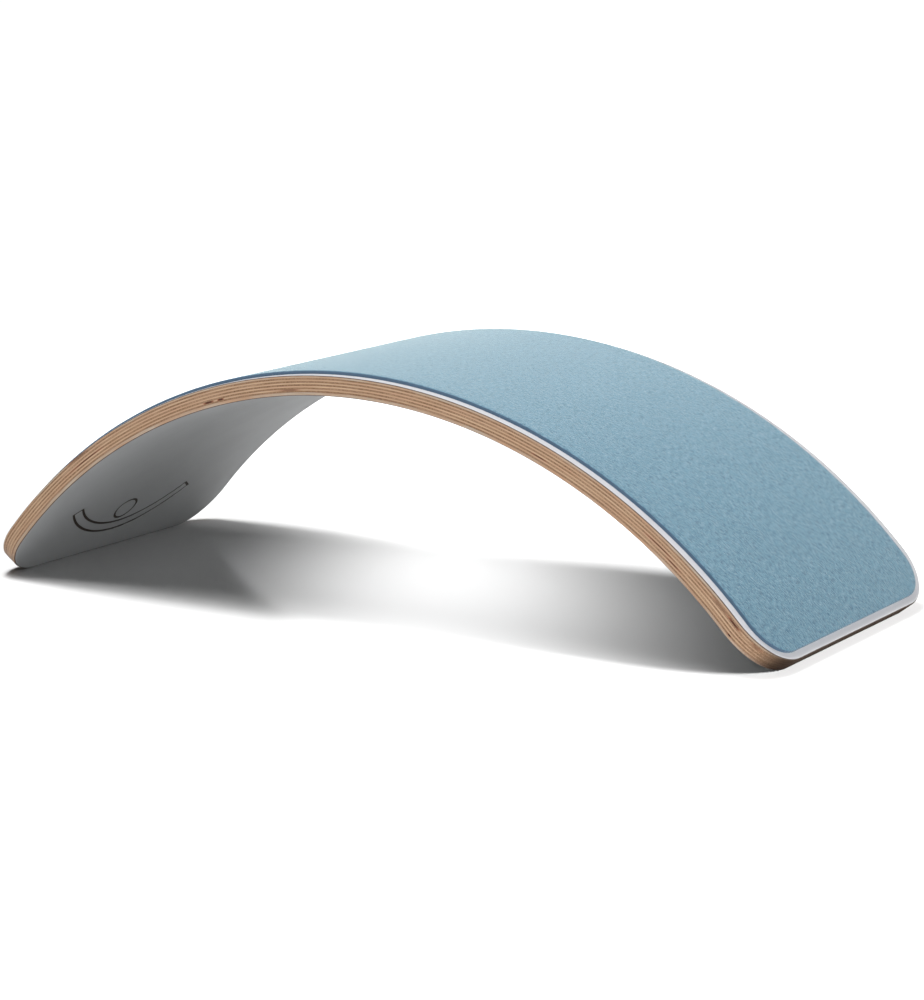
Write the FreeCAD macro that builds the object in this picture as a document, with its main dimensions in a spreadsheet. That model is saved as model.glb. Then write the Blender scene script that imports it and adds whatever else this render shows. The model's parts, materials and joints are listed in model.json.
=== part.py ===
import FreeCAD, Part
import os

import Sketcher
from FreeCAD import Placement, Rotation, Vector

# A rocking balance board: one wide strip of moulded plywood, bent to a circular arc and standing
# on its two ends like a bridge. Eleven veneers are pressed between a white laminate on the convex
# side and a grey laminate on the concave side. A felt cover is glued to the white side by hand,
# a little nearer to one long edge than to the other.
#
# X runs along the board, Y across it and Z up. The origin is on the ground under the middle of
# the arch. Every layer is a shell about one axis, the arch axis, which runs along Y below ground.

# Driving dimensions, in millimetres and degrees.
DIMENSIONS = {
    "board_width": 300.0,
    "outer_radius": 504.0,  # arch axis to the face of the white laminate
    "half_angle": 53.0,  # crest to either end, about the arch axis
    "corner_radius": 47.0,  # the four corners, seen square on to the board
    "edge_round": 2.0,  # round-over on every outer edge of the pressed stack
    "laminate_thickness": 0.8,
    "long_veneer_thickness": 1.5,  # grain along the board
    "cross_veneer_thickness": 1.2,  # grain across the board
    "inner_veneer_thickness": 2.4,  # the innermost veneer, grain along the board
    "felt_thickness": 3.0,
    "felt_front_margin": 8.0,  # white border left showing on the -Y side of the felt
    "felt_back_margin": 12.5,  # and on its +Y side
    "felt_end_margin": 7.0,  # and at either end
    "felt_corner_radius": 35.0,
    "felt_edge_round": 0.8,
    "mark_angle": -46.5,  # crest to the middle of the engraving, about the arch axis
    "mark_across": -12.0,  # middle of the engraving, along Y
    "rocker_radius": 106.0,  # outer edge of the engraved rocker
    "rocker_half_angle": 53.0,
    "rocker_band": 13.0,  # the engraved rocker's own width
    "ball_radius": 14.0,  # the engraved ball that rests in the rocker
    "line_width": 2.6,
    "mark_depth": 0.5,
}
VENEER_COUNT = 11
SHEET = "Dimensions"
OVERRUN = 10.0  # how far a cutting solid runs past what it cuts
ARC_START, ARC_END, ARC_MIDDLE = 1, 2, 3  # a sketch arc's points
VERTICAL_AXIS = -2  # the sketch's own axis
SKETCH_ORIGIN = (-1, 1)

doc = FreeCAD.newDocument("balance_board")


def dim(alias):
    """The expression that reads one driving dimension."""
    return f"{SHEET}.{alias}"


def veneer_thickness(number):
    """Veneer 1 is the outermost. The grain runs along the board in every odd one."""
    if number == VENEER_COUNT:
        return dim("inner_veneer_thickness")
    return dim("long_veneer_thickness") if number % 2 else dim("cross_veneer_thickness")


def veneer_face(count):
    """The convex face of the layer that has this many veneers outside it."""
    outside = [dim("laminate_thickness")]
    outside += [veneer_thickness(number) for number in range(1, count + 1)]
    return f"({WHITE_FACE} - {' - '.join(outside)})"


# The surfaces that the layers share, as expressions. The board stands on the rounded inner edges
# of its two ends, so the arch axis lies below ground by the height of that rounding's centre
# above the axis, less the rounding's radius.
WHITE_FACE = dim("outer_radius")
GREY_FACE = f"({veneer_face(VENEER_COUNT)} - {dim('laminate_thickness')})"
EDGE = dim("edge_round")
EDGE_CENTRE = f"sqrt(({GREY_FACE} + {EDGE})^2 - {EDGE}^2)"
END_ANGLE = dim("half_angle")
AXIS_DEPTH = f"({EDGE_CENTRE} * cos({END_ANGLE}) + {EDGE} * sin({END_ANGLE}) - {EDGE})"


def make_sheet():
    sheet = doc.addObject("Spreadsheet::Sheet", SHEET)
    for row, (alias, value) in enumerate(DIMENSIONS.items(), start=1):
        sheet.set(f"A{row}", alias)
        sheet.set(f"B{row}", str(value))
        sheet.setAlias(f"B{row}", alias)
    doc.recompute()


def add(kind, name, links=None, sizes=None):
    """A document object with its links set and its sizes bound to the sheet."""
    item = doc.addObject(kind, name)
    for prop, value in (links or {}).items():
        setattr(item, prop, value)
    for prop, expression in (sizes or {}).items():
        item.setExpression(prop, expression)
    return item


def strip_profile(body, outer, inner, half_angle):
    """Sketch of an arched strip seen along Y: two arcs about the arch axis and two radial ends."""
    sketch = body.newObject("Sketcher::SketchObject", f"{body.Name}Profile")
    plane = next(item for item in body.Origin.OriginFeatures if item.Role == "XZ_Plane")
    sketch.AttachmentSupport = [(plane, "")]
    sketch.MapMode = "FlatFace"

    # A rough first shape, which the constraints below settle.
    centre, facing = Vector(0, -290, 0), Vector(0, 0, 1)
    arcs, ends = [], []
    for radius in (504, 486):
        circle = Part.Circle(centre, facing, radius)
        arcs.append(sketch.addGeometry(Part.ArcOfCircle(circle, 0.65, 2.5)))
    for point in ("StartPoint", "EndPoint"):
        top, bottom = (getattr(sketch.Geometry[arc], point) for arc in arcs)
        ends.append(sketch.addGeometry(Part.LineSegment(top, bottom)))

    outer_arc, inner_arc = arcs
    rules = [
        ("Coincident", outer_arc, ARC_MIDDLE, inner_arc, ARC_MIDDLE),
        ("PointOnObject", outer_arc, ARC_MIDDLE, VERTICAL_AXIS),
        ("Symmetric", outer_arc, ARC_START, outer_arc, ARC_END, VERTICAL_AXIS),
    ]
    for line, arc_point in zip(ends, (ARC_START, ARC_END)):
        rules.append(("Coincident", line, 1, outer_arc, arc_point))
        rules.append(("Coincident", line, 2, inner_arc, arc_point))
        rules.append(("PointOnObject", outer_arc, ARC_MIDDLE, line))
    sketch.addConstraint([Sketcher.Constraint(*rule) for rule in rules])

    sizes = {
        "outer_radius": (("Radius", outer_arc, 504.0), outer),
        "inner_radius": (("Radius", inner_arc, 486.0), inner),
        "axis_depth": (("DistanceY", outer_arc, ARC_MIDDLE, *SKETCH_ORIGIN, 290.0), AXIS_DEPTH),
        "span": (("Angle", outer_arc, 1.85), f"2 * {half_angle}"),
    }
    for label, (rule, expression) in sizes.items():
        sketch.renameConstraint(sketch.addConstraint(Sketcher.Constraint(*rule)), label)
        sketch.setExpression(f"Constraints.{label}", expression)
    return sketch


def edge_names(shape, wanted):
    return [f"Edge{number}" for number, edge in enumerate(shape.Edges, start=1) if wanted(edge)]


def fillet(body, name, base, edges, radius):
    rounding = body.newObject("PartDesign::Fillet", f"{body.Name}{name}")
    rounding.Base = (base, edges)
    rounding.setExpression("Radius", radius)
    body.Tip = rounding
    doc.recompute()
    return rounding


def arched_strip(name, outer, inner, half_angle, width, corner_radius):
    """A strip bent to an arc, with its four corners rounded: the body and its last feature."""
    body = doc.addObject("PartDesign::Body", name)
    sketch = strip_profile(body, outer, inner, half_angle)
    pad = body.newObject("PartDesign::Pad", f"{name}Pad")
    pad.Profile = sketch
    pad.SideType = "Symmetric"
    pad.setExpression("Length", width)
    doc.recompute()

    def is_corner(edge):
        return isinstance(edge.Curve, Part.Line) and abs(edge.tangentAt(0).y) < 0.5

    corners = edge_names(pad.Shape, is_corner)
    return body, fillet(body, "Corners", pad, corners, corner_radius)


def rim_of(shape, axis_depth, radius):
    """The edges all round a strip that lie on one of its two curved faces."""

    def on_face(edge):
        middle = edge.valueAt((edge.FirstParameter + edge.LastParameter) / 2)
        return abs(Vector(middle.x, 0, middle.z + axis_depth).Length - radius) < 0.01

    return edge_names(shape, on_face)


def arch_cylinder(name, radius):
    """A cylinder on the arch axis, wider than the board."""
    sizes = {
        "Radius": radius,
        "Height": f"{dim('board_width')} + 2 * {OVERRUN}",
        "Placement.Base.y": f"{dim('board_width')} / 2 + {OVERRUN}",
        "Placement.Base.z": f"-{AXIS_DEPTH}",
    }
    cylinder = add("Part::Cylinder", name, sizes=sizes)
    cylinder.Placement.Rotation = Rotation(Vector(1, 0, 0), 90)
    return cylinder


def shell(name, outer, inner):
    """The space between two cylinders on the arch axis."""
    links = {
        "Base": arch_cylinder(f"{name}Outside", outer),
        "Tool": arch_cylinder(f"{name}Inside", inner),
    }
    return add("Part::Cut", f"{name}Shell", links)


def layer(blank, name, outer, inner):
    """One layer of the pressed stack: the part of the blank that lies in its own shell."""
    return add("Part::Common", name, {"Base": blank, "Tool": shell(name, outer, inner)})


def stack_blank():
    """The whole pressed stack as one solid, which its layers are taken from."""
    width, corner = dim("board_width"), dim("corner_radius")
    body, strip = arched_strip("Blank", WHITE_FACE, GREY_FACE, END_ANGLE, width, corner)
    sketch = body.Group[0]
    axis_depth = sketch.getDatum("axis_depth").Value
    rims = []
    for face in ("outer_radius", "inner_radius"):
        rims += rim_of(strip.Shape, axis_depth, sketch.getDatum(face).Value)
    fillet(body, "Rims", strip, rims, EDGE)
    return body


def felt_cover():
    """The felt: a strip on the white face, set in from the edge all round, its top edge eased."""
    outer = f"({WHITE_FACE} + {dim('felt_thickness')})"
    half_angle = f"({END_ANGLE} - {dim('felt_end_margin')} / {WHITE_FACE} * 180 / pi)"
    front, back = dim("felt_front_margin"), dim("felt_back_margin")
    width = f"({dim('board_width')} - {front} - {back})"
    corner = dim("felt_corner_radius")
    body, strip = arched_strip("FeltCover", outer, WHITE_FACE, half_angle, width, corner)
    body.setExpression("Placement.Base.y", f"({front} - {back}) / 2")
    sketch = body.Group[0]
    axis_depth = sketch.getDatum("axis_depth").Value
    rim = rim_of(strip.Shape, axis_depth, sketch.getDatum("outer_radius").Value)
    fillet(body, "Rim", strip, rim, dim("felt_edge_round"))
    return body


def upright_cylinder(name, radius, centre_x, angle=None, start=0):
    """A cylinder standing through the grey face at the crest, or a sector of one."""
    sizes = {
        "Radius": radius,
        "Height": f"2 * {OVERRUN}",
        "Placement.Base.x": centre_x,
        "Placement.Base.z": f"{GREY_FACE} - {OVERRUN}",
    }
    if angle:
        sizes["Angle"] = angle
        sizes["Placement.Rotation.Angle"] = start
    return add("Part::Cylinder", name, sizes=sizes)


def sector_ring(name, outer, inner, half_angle, centre_x):
    """A stretch of a ring, opening towards +X."""
    ring = {
        "Base": upright_cylinder(f"{name}Outside", outer, centre_x, f"2 * {half_angle}",
                                 f"180 - {half_angle}"),
        "Tool": upright_cylinder(f"{name}Inside", inner, centre_x),
    }
    return add("Part::Cut", name, ring)


def engraving():
    """The groove of a plain line drawing, a rocker with a ball in it, to be cut in the grey face.

    It is drawn with the arch axis at the origin and its middle over the crest, and then turned
    about the arch axis to its place.
    """
    line, radius, band = dim("line_width"), dim("rocker_radius"), dim("rocker_band")
    half_angle = dim("rocker_half_angle")
    centre_x = f"{radius} - 2 * {dim('ball_radius')}"
    end_line = f"{line} / {radius} * 180 / pi"
    rocker = sector_ring("Rocker", radius, f"{radius} - {band}", half_angle, centre_x)
    hollow = sector_ring("RockerHollow", f"{radius} - {line}", f"{radius} - {band} + {line}",
                         f"({half_angle} - {end_line})", centre_x)
    rocker_line = add("Part::Cut", "RockerLine", {"Base": rocker, "Tool": hollow})

    ball_x = f"{centre_x} - ({radius} - {band} - {dim('ball_radius')} - {line})"
    ball = upright_cylinder("Ball", dim("ball_radius"), ball_x)
    ball_hollow = upright_cylinder("BallHollow", f"{dim('ball_radius')} - {line}", ball_x)
    ball_line = add("Part::Cut", "BallLine", {"Base": ball, "Tool": ball_hollow})

    drawing = add("Part::MultiFuse", "Drawing", {"Shapes": [rocker_line, ball_line]})
    place = {
        "Placement.Base.y": dim("mark_across"),
        "Placement.Base.z": f"-{AXIS_DEPTH}",
        "Placement.Rotation.Angle": dim("mark_angle"),
    }
    drawing.Placement = Placement(Vector(), Rotation(Vector(0, 1, 0), 1))
    for prop, expression in place.items():
        drawing.setExpression(prop, expression)

    depth = shell("Groove", f"({GREY_FACE} + {dim('mark_depth')})", f"({GREY_FACE} - 1)")
    return add("Part::Common", "Engraving", {"Base": drawing, "Tool": depth})


def build():
    make_sheet()
    blank = stack_blank()
    parts = {"felt_cover": felt_cover()}
    parts["white_laminate"] = layer(blank, "WhiteLaminate", WHITE_FACE, veneer_face(0))
    for count in range(VENEER_COUNT):
        label = f"veneer_ply_{count + 1:02d}"
        name = f"Veneer{count + 1}"
        parts[label] = layer(blank, name, veneer_face(count), veneer_face(count + 1))
    grey = layer(blank, "GreyLaminate", veneer_face(VENEER_COUNT), GREY_FACE)
    parts["grey_laminate"] = add("Part::Cut", "GreyEngraved", {"Base": grey, "Tool": engraving()})
    for label, item in parts.items():
        item.Label = label
    doc.recompute()
    return parts


def check(parts):
    for item in doc.Objects:
        if {"Invalid", "Error"} & set(item.State):
            raise RuntimeError(f"{item.Label} is {item.State}")
    for label, item in parts.items():
        shape = item.Shape
        if shape.isNull() or not shape.isValid() or len(shape.Solids) != 1:
            raise RuntimeError(f"{label} isn't one valid solid")


sub_parts = build()
check(sub_parts)
os.makedirs("parts", exist_ok=True)
for label, item in sub_parts.items():
    item.Shape.exportStep(f"parts/{label}.step")
    print(f"{label}: {item.Shape.Volume / 1000:.1f} cm3")
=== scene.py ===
import json
import math

import bmesh
import bpy
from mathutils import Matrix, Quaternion, Vector, noise


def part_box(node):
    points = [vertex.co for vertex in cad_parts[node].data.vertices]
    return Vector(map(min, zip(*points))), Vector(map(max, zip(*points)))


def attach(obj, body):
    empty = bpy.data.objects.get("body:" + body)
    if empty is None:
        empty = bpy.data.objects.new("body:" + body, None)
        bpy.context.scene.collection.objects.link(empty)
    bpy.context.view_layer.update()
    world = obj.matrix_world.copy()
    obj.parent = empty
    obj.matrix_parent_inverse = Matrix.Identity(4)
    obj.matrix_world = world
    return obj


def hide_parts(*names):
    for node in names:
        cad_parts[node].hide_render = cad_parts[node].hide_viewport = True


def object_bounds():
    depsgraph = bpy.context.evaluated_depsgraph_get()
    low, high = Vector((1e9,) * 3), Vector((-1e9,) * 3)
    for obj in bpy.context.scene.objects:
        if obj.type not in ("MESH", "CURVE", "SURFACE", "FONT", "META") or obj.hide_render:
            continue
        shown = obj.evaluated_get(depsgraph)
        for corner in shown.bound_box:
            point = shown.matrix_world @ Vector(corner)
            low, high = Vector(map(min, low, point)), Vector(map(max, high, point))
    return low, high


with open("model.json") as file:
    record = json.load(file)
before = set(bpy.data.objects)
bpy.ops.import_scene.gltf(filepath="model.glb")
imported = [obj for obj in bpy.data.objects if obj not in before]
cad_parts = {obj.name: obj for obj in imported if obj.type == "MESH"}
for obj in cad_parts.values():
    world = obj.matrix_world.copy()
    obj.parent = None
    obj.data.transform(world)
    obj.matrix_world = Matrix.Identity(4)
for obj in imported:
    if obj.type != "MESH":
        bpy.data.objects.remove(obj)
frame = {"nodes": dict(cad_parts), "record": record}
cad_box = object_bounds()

# ---------------------------------------------------------------------------------------------
# The mould. Glued veneers and laminates are pressed together over a round former until the glue
# sets, then sawn and routed to outline as one blank, so every layer is a shell about one axis.
# That axis runs across the board, below ground. The cut end of the board slopes as its radius.
right_end = next(m for m in frame["record"]["mounts"] if m["name"] == "right_end")
end_angle = math.atan2(-right_end["axis"][2], right_end["axis"][0])
middle_radius = right_end["pos_m"][0] / math.sin(end_angle)
arch_axis = right_end["pos_m"][2] - middle_radius * math.cos(end_angle)


def reach(node):
    """A layer's outer and inner radius about the arch axis, and its largest angle from the crest."""
    points = [vertex.co for vertex in frame["nodes"][node].data.vertices]
    radii = [math.hypot(point.x, point.z - arch_axis) for point in points]
    angles = [math.atan2(point.x, point.z - arch_axis) for point in points]
    return max(radii), min(radii), max(angles)


white_face = reach("white_laminate")[0]
grey_face = reach("grey_laminate")[1]
board_width = cad_box[1].y - cad_box[0].y
board_corner = 0.047  # radius of the four corners, seen square on
edge_round = 0.002  # the router's round-over on both faces
round_steps = 6
bend_step = math.radians(1.0)


def flat_plate(length, width, corner, bottom, top):
    """A plate with rounded corners, still flat: X along the board and Z out through it."""
    plate = bmesh.new()
    bmesh.ops.create_grid(plate, x_segments=1, y_segments=1, size=0.5)
    bmesh.ops.scale(plate, vec=(length, width, 1.0), verts=plate.verts)
    bmesh.ops.bevel(plate, geom=plate.verts[:], offset=corner, offset_type="OFFSET", segments=24,
                    profile=0.5, affect="VERTICES", material=-1)
    bmesh.ops.translate(plate, vec=(0.0, 0.0, bottom), verts=plate.verts)
    raised = bmesh.ops.extrude_face_region(plate, geom=plate.faces[:])["geom"]
    raised = [item for item in raised if isinstance(item, bmesh.types.BMVert)]
    bmesh.ops.translate(plate, vec=(0.0, 0.0, top - bottom), verts=raised)
    bmesh.ops.recalc_face_normals(plate, faces=plate.faces)
    return plate


def ease(plate, height, radius, steps):
    """Round the rim of the plate's face at this height."""
    rim = [edge for edge in plate.edges if all(abs(v.co.z - height) < 1e-6 for v in edge.verts)]
    bmesh.ops.bevel(plate, geom=rim, offset=radius, offset_type="OFFSET", segments=steps,
                    profile=0.5, affect="EDGES", material=-1)


def slice_out(plate, bottom, top):
    """Keep what lies between two heights, and close the cuts."""
    for height, keeps_above in ((bottom, True), (top, False)):
        heights = [vertex.co.z for vertex in plate.verts]
        if min(heights) < height - 1e-6 and max(heights) > height + 1e-6:
            everything = plate.verts[:] + plate.edges[:] + plate.faces[:]
            bmesh.ops.bisect_plane(plate, geom=everything, dist=1e-7, plane_co=(0.0, 0.0, height),
                                   plane_no=(0.0, 0.0, 1.0), clear_inner=keeps_above,
                                   clear_outer=not keeps_above)
            opened = [edge for edge in plate.edges if edge.is_boundary]
            bmesh.ops.contextual_create(plate, geom=opened)
    bmesh.ops.recalc_face_normals(plate, faces=plate.faces)


def score(plate, axis, start, stop, step):
    """Cut the plate's faces across an axis at even steps, so that it can bend there."""
    count = round((stop - start) / step)
    direction = Vector((axis == "x", axis == "y", 0.0))
    for number in range(1, count):
        place = direction * (start + (stop - start) * number / count)
        everything = plate.verts[:] + plate.edges[:] + plate.faces[:]
        bmesh.ops.bisect_plane(plate, geom=everything, dist=1e-7, plane_co=place,
                               plane_no=direction)


def press(plate, end, corner, ripple=None):
    """Bend the flat plate over the mould. Its ends land on the angle end, its corners stay round."""
    half_length = end * white_face
    for vertex in plate.verts:
        x, y, z = vertex.co
        radius = white_face + z
        from_end = half_length - abs(x)
        if from_end < corner:
            angle = end - from_end / radius
        else:
            angle = abs(x) / (half_length - corner) * (end - corner / radius)
        angle = math.copysign(angle, x)
        if ripple:
            radius += ripple(x, y, z)
        vertex.co = (radius * math.sin(angle), y, radius * math.cos(angle) + arch_axis)


board = []  # every piece made so far, for the lamps that light the board alone


def make_piece(name, shape, finish):
    """An object of the board from a finished bmesh, which stands for the CAD node of its name."""
    data = bpy.data.meshes.new(name)
    shape.to_mesh(data)
    shape.free()
    data.polygons.foreach_set("use_smooth", [True] * len(data.polygons))
    data.set_sharp_from_angle(angle=math.radians(35.0))
    data.materials.append(finish)
    node = frame["nodes"][name]
    node.name = f"{name}_cad"
    piece = bpy.data.objects.new(name, data)
    bpy.context.collection.objects.link(piece)
    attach(piece, "root")
    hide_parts(name)
    board.append(piece)
    return piece


# ---------------------------------------------------------------------------------------------
# The veneers. Eleven sheets of rotary-cut birch, glued with the grain of each across the next.
# On the long edges the odd ones show pale side grain and the even ones dark end grain, and round
# the corners they change over. The sawn edges are sanded and oiled, and the cut ends, where the
# board stands, are painted nearly black: painted shade.
class Value:
    """One output of a shader, which joins into sums and products as a number does."""

    def __init__(self, finish, socket):
        self.finish = finish
        self.socket = socket

    def math(self, operation, *others):
        return self.finish.node("ShaderNodeMath", {"operation": operation},
                                dict(enumerate((self, *others))))

    def __add__(self, other):
        return self.math("ADD", other)

    def __sub__(self, other):
        return self.math("SUBTRACT", other)

    def __rsub__(self, other):
        return self.math("MULTIPLY", -1.0).math("ADD", other)

    def __mul__(self, other):
        return self.math("MULTIPLY", other)

    def __truediv__(self, other):
        return self.math("DIVIDE", other)

    def __pow__(self, other):
        return self.math("POWER", other)

    def __abs__(self):
        return self.math("ABSOLUTE")

    __radd__ = __add__
    __rmul__ = __mul__

    def ramp(self, start, end):
        """0 at start, 1 at end and smooth between them. Start may be the larger."""
        return self.finish.node("ShaderNodeMapRange", {"interpolation_type": "SMOOTHSTEP"},
                                {"Value": self, "From Min": start, "From Max": end})


class Finish:
    """One material: its nodes, and where on the arched board each point of it lies.

    The shader's constant sockets are given by name, with an underscore for each space.
    """

    def __init__(self, name, **sockets):
        self.material = bpy.data.materials.new(name)
        self.material.use_nodes = True
        self.tree = self.material.node_tree
        self.shader = self.tree.nodes["Principled BSDF"]
        for socket, value in sockets.items():
            self.shader.inputs[socket.replace("_", " ")].default_value = value

    def node(self, kind, settings, inputs, output=0):
        """Any node: its settings, then the values or links of its sockets. Gives one output."""
        node = self.tree.nodes.new(kind)
        for name, value in settings.items():
            setattr(node, name, value)
        for key, value in inputs.items():
            if isinstance(value, Value):
                self.tree.links.new(value.socket, node.inputs[key])
            else:
                node.inputs[key].default_value = value
        return Value(self, node.outputs[output])

    def parts_of(self, output):
        """The X, Y and Z of one of the Texture Coordinate node's outputs."""
        vector = self.node("ShaderNodeTexCoord", {}, {}, output)
        return [self.node("ShaderNodeSeparateXYZ", {}, {0: vector}, axis) for axis in range(3)]

    def place(self):
        """Metres along the arch from the crest, across the board, and out from the arch axis."""
        x, across, z = self.parts_of("Object")
        up = z - arch_axis
        return x.math("ARCTAN2", up) * middle_radius, across, (x * x + up * up) ** 0.5

    def facing(self):
        """How far the surface faces along the arch, across the board, and out: each 0 to 1."""
        x, _, z = self.parts_of("Object")
        along_x, across, along_z = self.parts_of("Normal")
        up = z - arch_axis
        size = (x * x + up * up) ** 0.5
        along = (along_x * up - along_z * x) / size
        out = (along_x * x + along_z * up) / size
        return abs(along), abs(across), abs(out)

    def cloud(self, x, y, z, detail=3.0, roughness=0.55, warp=0.0):
        """Soft noise, 0 to 1, whose grain is one unit of the three distances given."""
        point = self.node("ShaderNodeCombineXYZ", {}, {0: x, 1: y, 2: z})
        return self.node("ShaderNodeTexNoise", {"noise_dimensions": "3D"},
                         {"Vector": point, "Scale": 1.0, "Detail": detail, "Roughness": roughness,
                          "Distortion": warp})

    def mix(self, share, first, second):
        """Between two colours, each a linear red, green and blue or another node's output."""
        colours = [c if isinstance(c, Value) else (*c, 1.0) for c in (first, second)]
        return self.node("ShaderNodeMix", {"data_type": "RGBA"},
                         {0: share, 6: colours[0], 7: colours[1]}, 2)

    def feed(self, socket, value):
        """Let a value drive one of the shader's sockets."""
        self.tree.links.new(value.socket, self.shader.inputs[socket])

    def relief(self, height, depth):
        """Bump whose height, 0 to 1, stands for this many metres."""
        self.feed("Normal", self.node("ShaderNodeBump", {}, {"Height": height, "Distance": depth}))


outer_grain_highlight = (0.47, 0.39, 0.31)
side_grain = (0.52, 0.36, 0.236)
side_grain_red = (0.465, 0.295, 0.19)
end_grain = (0.35, 0.215, 0.124)
glue_brown = (0.125, 0.066, 0.038)
end_painted_shade = (0.02, 0.012, 0.008)
knot_red = (0.24, 0.085, 0.05)
knot_black = (0.03, 0.014, 0.01)
glue_spread = 0.00022  # how far the glue soaks into the sawn edge from each glue line

# Each veneer comes from another log: how much darker it is than the palest.
veneer_darkness = (0.02, 0.06, 0.06, 0.0, 0.03, 0.0, 0.0, 0.0, 0.06, 0.16, 0.16)

# Knots and open joints that the saw met along the front edge: veneer, degrees from the crest,
# length in metres, and how dark it is.
front_knots = (
    (1, -34.7, 0.036, 0.55),
    (3, 45.7, 0.026, 0.5),
    (3, 47.6, 0.018, 1.0),
    (3, 50.4, 0.014, 0.45),
    (6, -33.8, 0.050, 0.8),
    (6, 37.9, 0.034, 0.7),
    (8, 23.4, 0.018, 0.7),
    (8, 39.9, 0.018, 0.7),
    (9, -16.0, 0.013, 1.0),
    (9, -14.4, 0.008, 1.0),
    (9, -5.7, 0.026, 0.45),
    (10, 48.1, 0.005, 1.3),
)
knot_reach = 0.02  # how far a knot goes in from the edge


def birch(number):
    """The wood of one veneer, which knows its own two glue lines and knots."""
    outer, inner, _ = reach(f"veneer_ply_{number:02d}")
    long_grain = number % 2 == 1
    wood = Finish(f"birch_{number:02d}", Specular_IOR_Level=0.12)
    along, across, radius = wood.place()
    faces_along, faces_across, _ = wood.facing()
    with_grain, over_grain = (along, across) if long_grain else (across, along)
    cut_across = faces_along if long_grain else faces_across

    shift = number * 3.7
    streak = wood.cloud(with_grain * 45.0, over_grain * 1100.0, radius * 1300.0 + shift)
    pores = wood.cloud(with_grain * 260.0 + shift, over_grain * 3600.0, radius * 3600.0, 2.0)
    patch = wood.cloud(along * 26.0 + shift, across * 26.0, radius * 120.0, 2.0)
    stain = wood.cloud(along * 9.0 + shift, across * 9.0, radius * 300.0, 3.0)
    checks = wood.cloud(over_grain * 1500.0 + shift, with_grain * 60.0, radius * 260.0, 2.0)

    # The two outermost veneers, at the rounded edges, are painted paler: a painted highlight.
    base_grain = outer_grain_highlight if number in (1, len(veneers)) else side_grain
    side = wood.mix(patch.ramp(0.35, 0.68), base_grain, side_grain_red)
    side = wood.mix(streak.ramp(0.4, 0.7) * 0.55, side, end_grain)
    tone = patch.ramp(0.3, 0.7) * 0.5 + 0.6
    end = wood.mix(streak.ramp(0.3, 0.7), end_grain, glue_brown)
    end = wood.mix(checks.ramp(0.45, 0.25) * 0.35, end, side_grain_red)
    colour = wood.mix(cut_across.ramp(0.15, 0.8) * tone, side, end)
    colour = wood.mix(pores.ramp(0.6, 0.72) * 0.35, colour, glue_brown)
    colour = wood.mix(stain.ramp(0.5, 0.75) * 0.3, colour, end_grain)
    colour = wood.mix(veneer_darkness[number - 1], colour, glue_brown)
    # Painted shade: the cut ends of the board, where it stands, are darkened almost to black.
    colour = wood.mix(faces_along.ramp(0.55, 0.95) * 0.97, colour, end_painted_shade)

    line = abs(radius - (outer + inner) / 2.0)
    half = (outer - inner) / 2.0
    glue = line.ramp(half - glue_spread, half - 0.00002) * (streak.ramp(0.75, 0.3) * 0.5 + 0.4)
    colour = wood.mix(glue, colour, glue_brown)

    sound = None
    for knot_number, degrees, length, darkness in front_knots:
        if knot_number == number:
            off = abs(along - math.radians(degrees) * middle_radius) / (length / 2.0)
            deep = (across + board_width / 2.0) / knot_reach
            away = (off * off + deep * deep) ** 0.5 + (streak - 0.5) * 0.9
            knot = away.ramp(1.15, 0.55) * min(darkness, 1.0)
            core = away.ramp(0.75, 0.3) * (darkness * 0.75)
            colour = wood.mix(knot, colour, knot_red)
            colour = wood.mix(core, colour, knot_black)
            sound = 1.0 - core if sound is None else sound * (1.0 - core)
    wood.feed("Base Color", colour)
    wood.feed("Roughness", (streak * 0.2 + 0.38).math("MAXIMUM", faces_along.ramp(0.55, 0.95)))
    height = streak * 0.5 - pores.ramp(0.6, 0.72) * 0.3 - glue * 0.4
    wood.relief(height if sound is None else height + sound * 6.0, 0.00006)
    return wood.material


def board_layer(name):
    """One layer of the blank, flat: the slice of it between the layer's two faces."""
    blank = flat_plate(2.0 * end_angle * white_face, board_width, board_corner,
                       grey_face - white_face, 0.0)
    ease(blank, 0.0, edge_round, round_steps)
    ease(blank, grey_face - white_face, edge_round, round_steps)
    outer, inner, _ = reach(name)
    slice_out(blank, inner - white_face, outer - white_face)
    return blank


def press_layer(layer):
    """Score the layer along its length and bend it over the mould with the rest of the blank."""
    half_length = end_angle * white_face
    score(layer, "x", -half_length, half_length, bend_step * white_face)
    press(layer, end_angle, board_corner)


veneers = [name for name in sorted(frame["nodes"]) if name.startswith("veneer")]
for number, name in enumerate(veneers, start=1):
    veneer = board_layer(name)
    press_layer(veneer)
    make_piece(name, veneer, birch(number))


# ---------------------------------------------------------------------------------------------
# The laminates. High-pressure laminate is a printed decor sheet on a core of brown resin-soaked
# paper, so its cut edge shows a thin dark line. White faces out of the arch and grey into it.
core_brown = (0.06, 0.038, 0.03)
burnt_black = (0.02, 0.013, 0.009)
decor_blur = 0.00003  # decor turns to core within this distance either way


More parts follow.
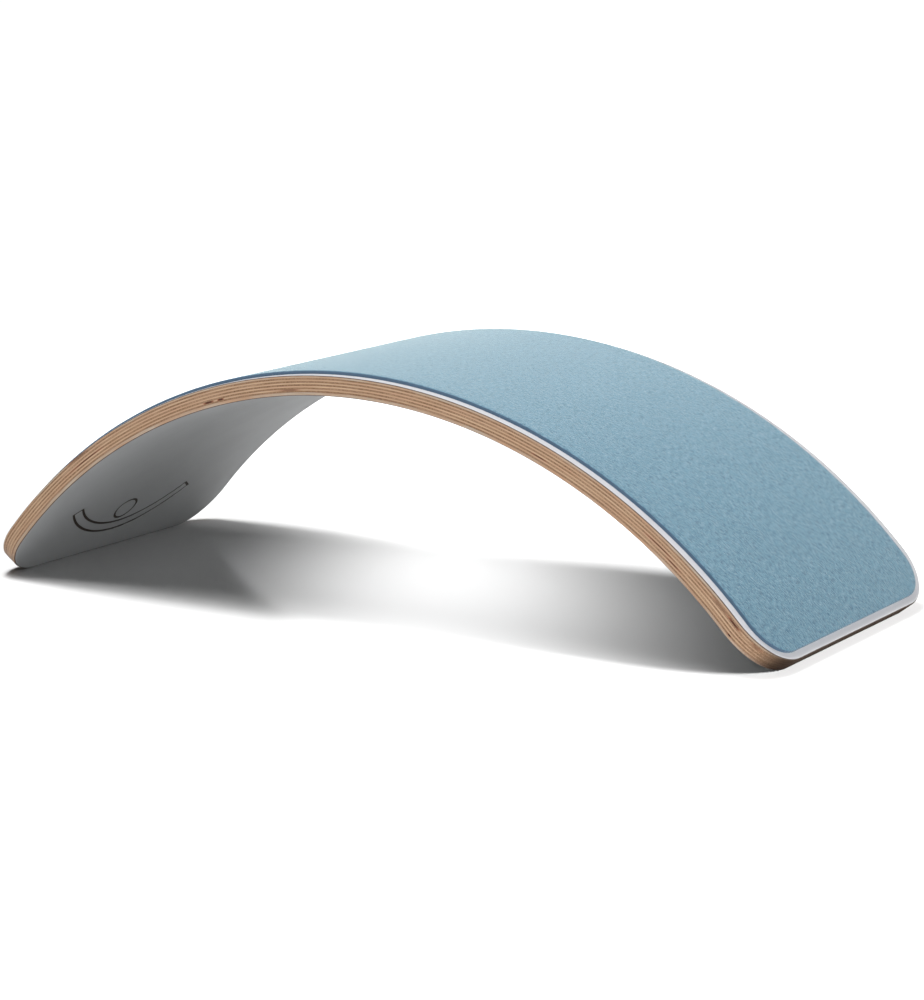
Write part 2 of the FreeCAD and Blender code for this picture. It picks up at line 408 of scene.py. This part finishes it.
def laminate(name, colour, matt, decor_from, decor_to, engraved_at=None):
    """Laminate, decor between two radii and brown core beyond them, burnt where it is engraved."""
    sheet = Finish(name, Specular_IOR_Level=0.6 - 0.6 * matt)
    along, across, radius = sheet.place()
    haze = sheet.cloud(along * 22.0, across * 22.0, radius * 22.0, 3.0)
    rubbed = sheet.cloud(along * 90.0, across * 900.0, radius * 900.0, 3.0, 0.6, 0.4)
    peel = sheet.cloud(along * 420.0, across * 420.0, radius * 420.0, 2.0)
    decor = radius.ramp(decor_from - decor_blur, decor_from + decor_blur)
    decor = decor * radius.ramp(decor_to + decor_blur, decor_to - decor_blur)
    shade = tuple(0.97 * part for part in colour)
    face = sheet.mix(haze.ramp(0.3, 0.7), colour, shade)
    face = sheet.mix(rubbed.ramp(0.66, 0.8) * 0.12, face, core_brown)
    core = core_brown
    if engraved_at:
        near = abs(along - engraved_at[0]).ramp(0.05, 0.045)
        near = near * abs(across - engraved_at[1]).ramp(0.11, 0.1)
        core = sheet.mix(near, core_brown, burnt_black)
    sheet.feed("Base Color", sheet.mix(decor, core, face))
    gloss = haze.ramp(0.35, 0.7) * 0.03 + rubbed.ramp(0.55, 0.75) * 0.03 + matt
    sheet.feed("Roughness", gloss * decor + (1.0 - decor) * 0.7)
    sheet.relief(peel + rubbed * 0.4, 0.00003)
    return sheet


white_decor = 0.00032  # thickness of the decor sheet
white_layer = board_layer("white_laminate")
press_layer(white_layer)
white_finish = laminate("white_decor", (0.84, 0.84, 0.87), 0.35, white_face - white_decor, 1.0)
make_piece("white_laminate", white_layer, white_finish.material)

# The grey sheet carries an engraving near its left end, a plain line drawing of a ball in a
# rocker. A laser burns it through the decor into the brown core.
grey_decor = 0.00022
mark_angle = math.radians(-46.5)
mark_across = -0.012
mark_depth = 0.0005
mark_line = 0.0026
rocker_radius = 0.106
rocker_band = 0.013
rocker_half_angle = math.radians(53.0)
ball_radius = 0.014


def outline_cutter(face_shape, name):
    """A flat drawing's outline, a line wide, as a solid that reaches the groove's depth."""
    inset = bmesh.ops.inset_region(face_shape, faces=face_shape.faces[:], thickness=mark_line,
                                   use_even_offset=True, use_boundary=True)
    border = set(inset["faces"])
    filled = [face for face in face_shape.faces if face not in border]
    bmesh.ops.delete(face_shape, geom=filled, context="FACES")
    raised = bmesh.ops.extrude_face_region(face_shape, geom=face_shape.faces[:])["geom"]
    raised = [item for item in raised if isinstance(item, bmesh.types.BMVert)]
    bmesh.ops.translate(face_shape, vec=(0.0, 0.0, 2.0 * mark_depth), verts=raised)

    # The flat blank is as long as the white face, so a drawing at the grey face is stretched.
    straight = end_angle * white_face - board_corner
    stretch = straight / (end_angle * grey_face - board_corner)
    bmesh.ops.scale(face_shape, vec=(stretch, 1.0, 1.0), verts=face_shape.verts)
    middle = mark_angle * grey_face * stretch
    bmesh.ops.translate(face_shape, verts=face_shape.verts,
                        vec=(middle, mark_across, grey_face - white_face - mark_depth))
    bmesh.ops.recalc_face_normals(face_shape, faces=face_shape.faces)
    data = bpy.data.meshes.new(name)
    face_shape.to_mesh(data)
    face_shape.free()
    cutter = bpy.data.objects.new(name, data)
    bpy.context.collection.objects.link(cutter)
    return cutter


rocker_centre = rocker_radius - 2.0 * ball_radius
rocker = bmesh.new()
tips = [rocker.verts.new((-size, 0.0, 0.0)) for size in (rocker_radius - rocker_band, rocker_radius)]
first_edge = rocker.edges.new(tips)
bmesh.ops.rotate(rocker, cent=(0.0, 0.0, 0.0), verts=rocker.verts,
                 matrix=Quaternion((0.0, 0.0, 1.0), -rocker_half_angle).to_matrix())
bmesh.ops.spin(rocker, geom=[*tips, first_edge], cent=(0.0, 0.0, 0.0), axis=(0.0, 0.0, 1.0),
               angle=2.0 * rocker_half_angle, steps=64, use_merge=False)
bmesh.ops.translate(rocker, vec=(rocker_centre, 0.0, 0.0), verts=rocker.verts)

ball = bmesh.new()
bmesh.ops.create_circle(ball, cap_ends=True, segments=64, radius=ball_radius)
ball_place = rocker_centre - (rocker_radius - rocker_band - ball_radius - mark_line)
bmesh.ops.translate(ball, vec=(ball_place, 0.0, 0.0), verts=ball.verts)

grey_layer = board_layer("grey_laminate")
grey_data = bpy.data.meshes.new("grey_sheet")
grey_layer.to_mesh(grey_data)
grey_layer.free()
grey_sheet = bpy.data.objects.new("grey_sheet", grey_data)
bpy.context.collection.objects.link(grey_sheet)
cutters = [outline_cutter(rocker, "rocker_cutter"), outline_cutter(ball, "ball_cutter")]
for cutter in cutters:
    groove = grey_sheet.modifiers.new(cutter.name, "BOOLEAN")
    groove.operation = "DIFFERENCE"
    groove.solver = "EXACT"
    groove.object = cutter
engraved = grey_sheet.evaluated_get(bpy.context.evaluated_depsgraph_get())
grey_layer = bmesh.new()
grey_layer.from_mesh(engraved.to_mesh())
for spent in (grey_sheet, *cutters):
    bpy.data.objects.remove(spent)
press_layer(grey_layer)
grey_finish = laminate("grey_decor", (0.222, 0.227, 0.23), 0.6, 0.0, grey_face + grey_decor,
                       (mark_angle * middle_radius, mark_across))
grey_cover = make_piece("grey_laminate", grey_layer, grey_finish.material)


# ---------------------------------------------------------------------------------------------
# The felt. A sheet of pressed wool felt, knife-cut with round corners and glued over the white
# laminate. Its face is a mottle of matted blue fibres, with painted shade in its small dents and a
# painted highlight on the felt between them. Its cut side and eased rim are darker: partly the
# denser felt's own colour, partly painted shade.
felt_corner = 0.035
felt_ease = 0.0012
felt_step = 0.005
felt_face, _, felt_end = reach("felt_cover")
felt_low, felt_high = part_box("felt_cover")
felt_width = felt_high.y - felt_low.y
felt_length = 2.0 * felt_end * white_face
felt_thickness = felt_face - white_face


def nap(x, y, z):
    """The felt's face isn't quite level: it is a little thick here and a little thin there."""
    swell = noise.noise(Vector((x * 40.0, y * 40.0, 3.0))) * 0.6
    swell += noise.noise(Vector((x * 130.0, y * 130.0, 7.0))) * 0.4
    return swell * 0.00012 * z / felt_thickness


felt_sheet = flat_plate(felt_length, felt_width, felt_corner, 0.0, felt_thickness)
ease(felt_sheet, felt_thickness, felt_ease, 4)
score(felt_sheet, "x", -felt_length / 2.0, felt_length / 2.0, felt_step)
score(felt_sheet, "y", -felt_width / 2.0, felt_width / 2.0, felt_step)
bmesh.ops.translate(felt_sheet, vec=(0.0, (felt_low.y + felt_high.y) / 2.0, 0.0),
                    verts=felt_sheet.verts)
press(felt_sheet, felt_end, felt_corner, nap)

felt_blue = (0.171, 0.342, 0.457)
felt_deep_and_dent_shade = (0.07, 0.16, 0.245)
felt_pale_and_raised_highlight = (0.30, 0.455, 0.56)
felt_fleck = (0.05, 0.10, 0.16)
felt_cut_and_shade = (0.095, 0.152, 0.225)
felt = Finish("wool_felt", Roughness=0.95, Specular_IOR_Level=0.15, Sheen_Weight=0.9,
              Sheen_Roughness=0.3, Sheen_Tint=(0.9, 1.0, 0.96, 1.0))
along, across, radius = felt.place()
_, _, faces_out = felt.facing()
mottle = felt.cloud(along * 90.0, across * 90.0, radius * 90.0, 4.0, 0.6)
drift_x = along + (mottle - 0.5) * 0.006
drift_y = across + (felt.cloud(along * 60.0, across * 60.0, 9.0, 3.0) - 0.5) * 0.008

# Matted fibres lie every way: strokes of long thin noise, each layer turned to its own heading.
pale_fibre = None
dark_fibre = None
for heading in (12.0, 57.0, 103.0, 148.0):  # degrees from the board's length
    turn = math.radians(heading)
    run = drift_x * math.cos(turn) + drift_y * math.sin(turn)
    over = drift_y * math.cos(turn) - drift_x * math.sin(turn)
    stroke = felt.cloud(run * 420.0, over * 1000.0, heading, 1.0, 0.5)
    pale = stroke.ramp(0.55, 0.75)
    dark = stroke.ramp(0.45, 0.25)
    pale_fibre = pale if pale_fibre is None else pale_fibre.math("MAXIMUM", pale)
    dark_fibre = dark if dark_fibre is None else dark_fibre.math("MAXIMUM", dark)
dents = felt.cloud(along * 230.0 + across * 55.0, across * 610.0 - along * 145.0, 2.0, 3.0, 0.65)
fleck = felt.cloud(along * 260.0, across * 420.0, 5.0, 1.0).ramp(0.74, 0.82)
face = felt.mix(mottle.ramp(0.3, 0.7) * 0.15 + 0.85, felt_deep_and_dent_shade, felt_blue)
# Painted shade and highlight: the colour follows the dents' relief, dark in the dents and pale on
# the felt between them.
face = felt.mix(dents.ramp(0.52, 0.34) * 0.9, face, felt_deep_and_dent_shade)
face = felt.mix(dents.ramp(0.5, 0.68) * 0.7, face, felt_pale_and_raised_highlight)
face = felt.mix(dark_fibre * 0.2, face, felt_deep_and_dent_shade)
face = felt.mix(pale_fibre * 0.15, face, felt_pale_and_raised_highlight)
face = felt.mix(fleck * 0.5, face, felt_fleck)
# Painted shade: the cut side and the eased rim turn dark navy, partly the denser felt's own colour.
felt.feed("Base Color", felt.mix(faces_out.ramp(0.93, 0.5), face, felt_cut_and_shade))
felt.relief(pale_fibre * 0.3 - dark_fibre * 0.3 + dents * 1.5 + mottle, 0.0003)
felt_cover = make_piece("felt_cover", felt_sheet, felt.material)
corner_waste = (4.0 - math.pi) * felt_corner ** 2
felt_width * felt_length - corner_waste


# ---------------------------------------------------------------------------------------------
# The studio. Pale paper on the ground runs out into a lit white backdrop, and a wide softbox hangs
# over it. The other lamps are flagged: two to the board, one to its grey face, two behind it to
# the felt, which they graze, and four to the paper, of which one shines under the arch.
paper = Finish("paper", Roughness=1.0, Specular_IOR_Level=0.0, Base_Color=(0.65, 0.65, 0.65, 1.0),
               Emission_Strength=1.0)
x, y, _ = paper.parts_of("Object")
lit = ((x * x + y * y) ** 0.5).ramp(0.55, 1.5)
paper.feed("Emission Color", paper.mix(lit, (0.0, 0.0, 0.0), (1.0, 1.0, 1.0)))
paper_sheet = bmesh.new()
bmesh.ops.create_grid(paper_sheet, x_segments=1, y_segments=1, size=40.0)
floor_data = bpy.data.meshes.new("floor")
paper_sheet.to_mesh(floor_data)
paper_sheet.free()
floor_data.materials.append(paper.material)
floor = bpy.data.objects.new("floor", floor_data)
bpy.context.collection.objects.link(floor)

# The room shows white behind the board, but it gives the board far less light than it shows.
room_light = 0.075
room = bpy.data.worlds.new("room")
room.use_nodes = True
background = room.node_tree.nodes["Background"]
background.inputs["Color"].default_value = (1.0, 1.0, 1.0, 1.0)
seen = room.node_tree.nodes.new("ShaderNodeLightPath").outputs["Is Camera Ray"]
dimmer = room.node_tree.nodes.new("ShaderNodeMapRange")
dimmer.inputs["To Min"].default_value = room_light
room.node_tree.links.new(seen, dimmer.inputs["Value"])
room.node_tree.links.new(dimmer.outputs["Result"], background.inputs["Strength"])
bpy.context.scene.world = room

paper_only = bpy.data.collections.new("paper_only")
paper_only.objects.link(floor)
felt_only = bpy.data.collections.new("felt_only")
felt_only.objects.link(felt_cover)
grey_only = bpy.data.collections.new("grey_only")
grey_only.objects.link(grey_cover)
board_only = bpy.data.collections.new("board_only")
for piece in board:
    board_only.objects.link(piece)


def lamp(name, kind, stands, aims, power, lights=None, **settings):
    """A softbox or spot that stands in one place and aims at another, flagged to one collection."""
    data = bpy.data.lights.new(name, kind)
    data.energy = power
    for key, value in settings.items():
        setattr(data, key, value)
    fitting = bpy.data.objects.new(name, data)
    fitting.location = stands
    fitting.rotation_mode = "QUATERNION"
    fitting.rotation_quaternion = (Vector(aims) - Vector(stands)).to_track_quat("-Z", "Y")
    fitting.light_linking.receiver_collection = lights
    bpy.context.collection.objects.link(fitting)


under_crest = (0.0, 0.0, 0.1)
crest = (0.0, 0.0, 0.15)
overhead = (-0.25, -0.2, 2.3)
lamp("overhead", "AREA", overhead, under_crest, 39.0, size=1.2)
lamp("front_fill", "AREA", (-0.3, -2.2, 0.6), under_crest, 13.0, board_only, size=1.2)
lamp("right_fill", "AREA", (1.8, -0.3, 1.2), (0.2, 0.0, 0.1), 5.5, board_only, size=1.0)
lamp("arch_fill", "AREA", (0.6, -1.3, 0.25), (-0.3, 0.0, 0.1), 15.5, grey_only, size=0.3)
lamp("backdrop_glow", "AREA", (-0.9, 2.2, 1.6), crest, 57.0, felt_only, size=1.5)
lamp("low_glow", "AREA", (-1.4, 2.3, 0.7), crest, 46.0, felt_only, size=0.8)
lamp("paper_overhead", "AREA", overhead, under_crest, 18.0, paper_only, size=1.2)
lamp("paper_wash", "AREA", (-0.6, 0.05, 2.4), (-0.1, 0.0, 0.0), 38.0, paper_only, size=0.5)
lamp("paper_side", "AREA", (2.6, 0.05, 1.1), (0.3, 0.0, 0.0), 170.0, paper_only, size=0.7)
lamp("under_arch", "SPOT", (-1.07, 1.63, 0.73), (0.02, -0.02, 0.0), 720.0, paper_only,
     spot_size=math.radians(10.5), spot_blend=1.0, shadow_soft_size=0.1)

view_from = math.radians(33.67)
view_height = math.radians(11.206)
view_roll = math.radians(-1.295)
view_distance = 2.450
looks_at = Vector((0.02204, 0.0, 0.08191))
back = Vector((math.sin(view_from) * math.cos(view_height),
               -math.cos(view_from) * math.cos(view_height), math.sin(view_height)))
lens = bpy.data.cameras.new("camera")
lens.lens = 101.06
lens.sensor_width = 36.0
camera = bpy.data.objects.new("camera", lens)
camera.location = looks_at + back * view_distance
camera.rotation_mode = "QUATERNION"
upright = (-back).to_track_quat("-Z", "Y")
camera.rotation_quaternion = upright @ Quaternion((0.0, 0.0, 1.0), view_roll)
bpy.context.collection.objects.link(camera)
bpy.context.scene.camera = camera
bpy.context.scene.view_settings.view_transform = "Standard"
